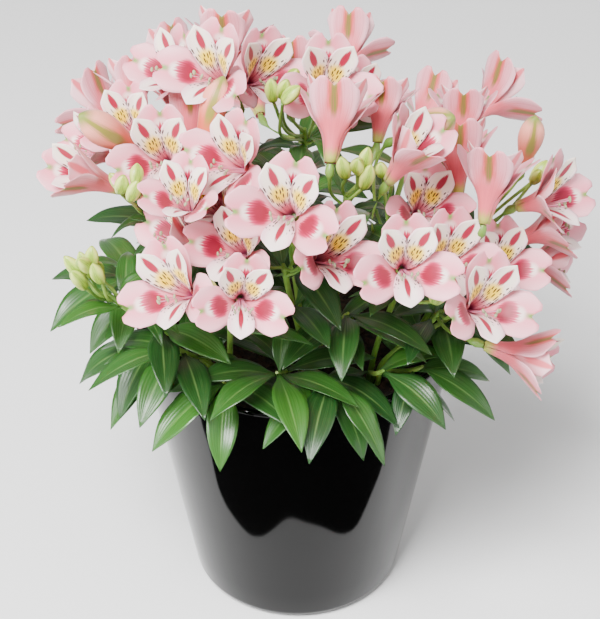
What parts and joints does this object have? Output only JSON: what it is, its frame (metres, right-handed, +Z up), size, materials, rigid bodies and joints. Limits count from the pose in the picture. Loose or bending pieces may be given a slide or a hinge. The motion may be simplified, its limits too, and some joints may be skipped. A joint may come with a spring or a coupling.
{
  "type": "potted peruvian lily",
  "caption": "Peruvian lily in full bloom: pink flowers in umbels over leafy green shoots, rooted in soil in a tapered round glazed pot with a thin rim.",
  "frame": {"origin": "centre of the underside of the pot, on the surface it stands on", "axes": "+Z up, -Y towards the side that the plant is mostly seen from, +X to that viewer's right"},
  "size_m": [0.266, 0.2832, 0.3418],
  "materials": {
    "glazed_ceramic": "gloss black glaze",
    "potting_soil": "matt, crumbly",
    "petals": "soft satin, pale pink with crimson and yellow marks",
    "closed_petals": "soft satin, salmon",
    "foliage": "satin, deep green"
  },
  "bodies": {
    "root": {"pot": "glazed_ceramic", "soil": "potting_soil", "bloom_front": "petals", "bloom_front_low": "petals", "bloom_low_left": "petals", "bloom_right_low": "petals", "bloom_left_mid": "petals", "bloom_left_upper": "petals", "bloom_right_mid": "petals", "bloom_low_mid": "petals", "bloom_low_centre": "petals", "bloom_back_trumpet": "petals", "bloom_right_trumpet": "petals", "bloom_right_heart": "petals", "bloom_top_mid": "petals", "bloom_right_spot": "petals", "bloom_right_far": "petals", "bloom_far_right": "petals", "bloom_top_right": "petals", "bloom_left_heart": "petals", "bloom_upper_trumpet": "petals", "bloom_right_upper": "petals", "bloom_right_inner": "petals", "bloom_left_side": "petals", "bloom_left_trumpet": "petals", "bloom_far_left": "petals", "bloom_left_half": "petals", "bloom_left_behind": "petals", "bloom_top_trumpet": "petals", "bloom_top_behind": "petals", "bloom_left_back": "petals", "bloom_left_rear": "petals", "bloom_leaf_side": "petals", "bloom_mid_behind": "petals", "bloom_right_behind": "petals", "bloom_left_high": "petals", "bloom_far_right_low": "petals", "bloom_right_lowest": "petals", "closed_left": "closed_petals", "closed_left_small": "closed_petals", "bloom_top_left": "petals", "closed_right_upper": "closed_petals", "closed_right_top": "closed_petals", "bloom_rear_1": "petals", "bloom_rear_2": "petals", "bloom_rear_3": "petals", "bloom_rear_4": "petals", "bloom_rear_5": "petals", "bloom_rear_6": "petals", "leafy_clump_front": "foliage", "leafy_clump_front_left": "foliage", "leafy_clump_front_right": "foliage", "leafy_clump_left": "foliage", "leafy_clump_right": "foliage", "leafy_clump_left_inner": "foliage", "leafy_clump_right_inner": "foliage", "leafy_clump_rear_left": "foliage", "leafy_clump_rear": "foliage", "leafy_clump_rear_right": "foliage"}
  },
  "joints": []
}
